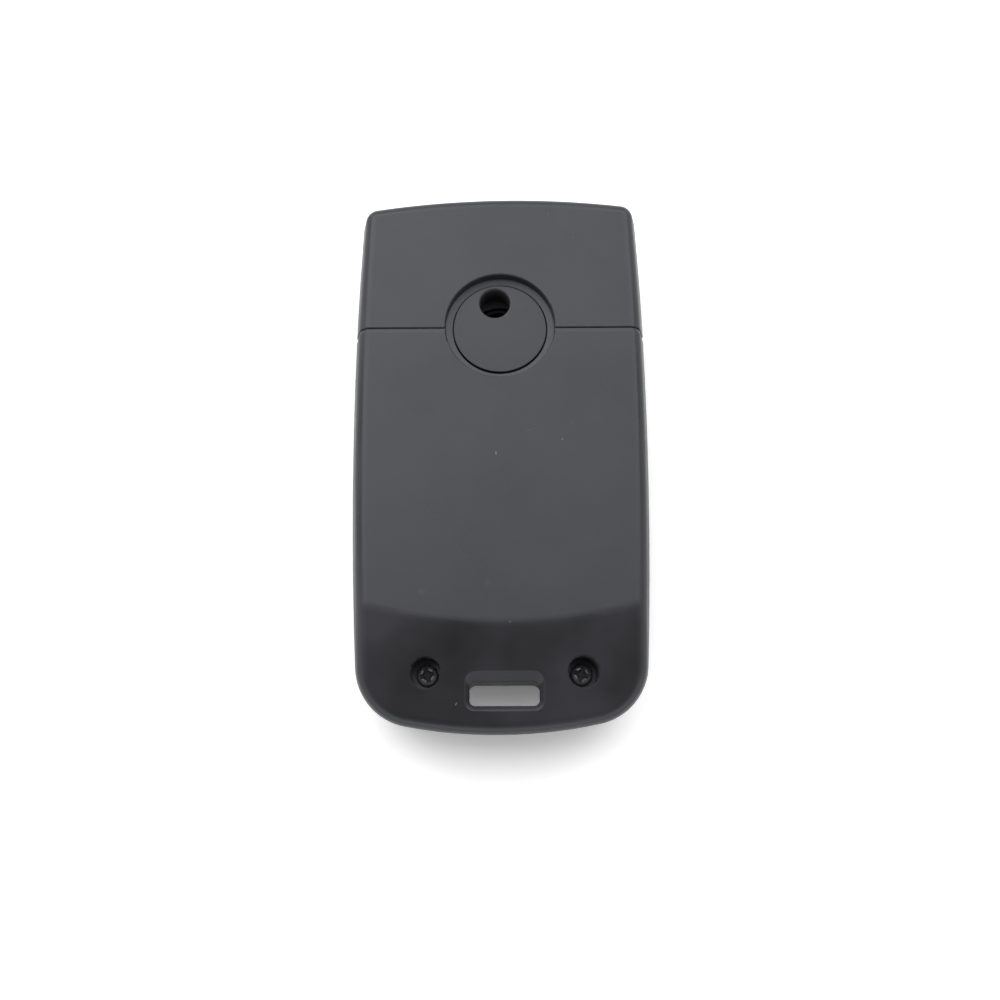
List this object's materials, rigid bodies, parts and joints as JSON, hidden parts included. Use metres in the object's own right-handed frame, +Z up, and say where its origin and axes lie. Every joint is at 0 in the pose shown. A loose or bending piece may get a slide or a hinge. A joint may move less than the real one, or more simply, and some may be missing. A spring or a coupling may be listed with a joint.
{
  "type": "flip key remote shell",
  "caption": "Empty plastic shell of a car's flip key remote: two-piece drafted back, keyed front, and a hub that swings the key blade out of a slot in its side.",
  "frame": {"origin": "middle of the footprint, on the surface that the shell lies on with its keys down", "axes": "+Z up, out of the back face; +Y along the length, towards the head that the blade opens from; +X to the right seen from above the back, the side that the blade swings out of"},
  "size_m": [0.0404, 0.0752, 0.015],
  "materials": {
    "soft_black": "soft touch black, very fine grain",
    "moulded_black": "plain black moulding",
    "key_caps": "fine grained black",
    "button_grey": "fine grained dark grey",
    "hub_black": "soft touch black",
    "membrane": "silicone rubber",
    "pad": "foam rubber",
    "blade_steel": "ground nickel plated steel",
    "spring_steel": "drawn spring wire",
    "screw_black": "glossy black oxide",
    "washer": "thin spring steel"
  },
  "bodies": {
    "case": {"front_shell": "soft_black", "head_cover": "soft_black", "back_cover": "soft_black", "board_cover": "moulded_black", "keypad_membrane": "membrane", "lower_washer": "washer", "chip_holder": "moulded_black", "blade_pad": "pad", "case_screw_left": "screw_black", "case_screw_right": "screw_black", "head_screw": "screw_black"},
    "blade_assembly": {"blade_carrier": "hub_black", "key_blade": "blade_steel", "blade_pin": "spring_steel", "upper_washer": "washer"},
    "release": {"release_button": "button_grey", "flip_spring": "spring_steel"},
    "lock": {"lock_key": "key_caps"},
    "unlock": {"unlock_key": "key_caps"},
    "boot": {"boot_key": "key_caps"}
  },
  "joints": [
    {"name": "blade_flip", "type": "hinge", "parent": "case", "child": "blade_assembly", "pos_m": [0, 0.01735, 0.0085], "axis": [0, 0, 1], "range_deg": [0, 180]},
    {"name": "release_press", "type": "slide", "parent": "case", "child": "release", "axis": [0, 0, 1], "range_m": [0, 0.0018], "stiffness_N_per_m": 1200, "springref_m": -0.001, "deforming": ["flip_spring"]},
    {"name": "lock_press", "type": "slide", "parent": "case", "child": "lock", "axis": [0, 0, 1], "range_m": [0, 0.0005], "stiffness_N_per_m": 1500, "springref_m": -0.0003},
    {"name": "unlock_press", "type": "slide", "parent": "case", "child": "unlock", "axis": [0, 0, 1], "range_m": [0, 0.0005], "stiffness_N_per_m": 1500, "springref_m": -0.0003},
    {"name": "boot_press", "type": "slide", "parent": "case", "child": "boot", "axis": [0, 0, 1], "range_m": [0, 0.0005], "stiffness_N_per_m": 1500, "springref_m": -0.0003}
  ]
}
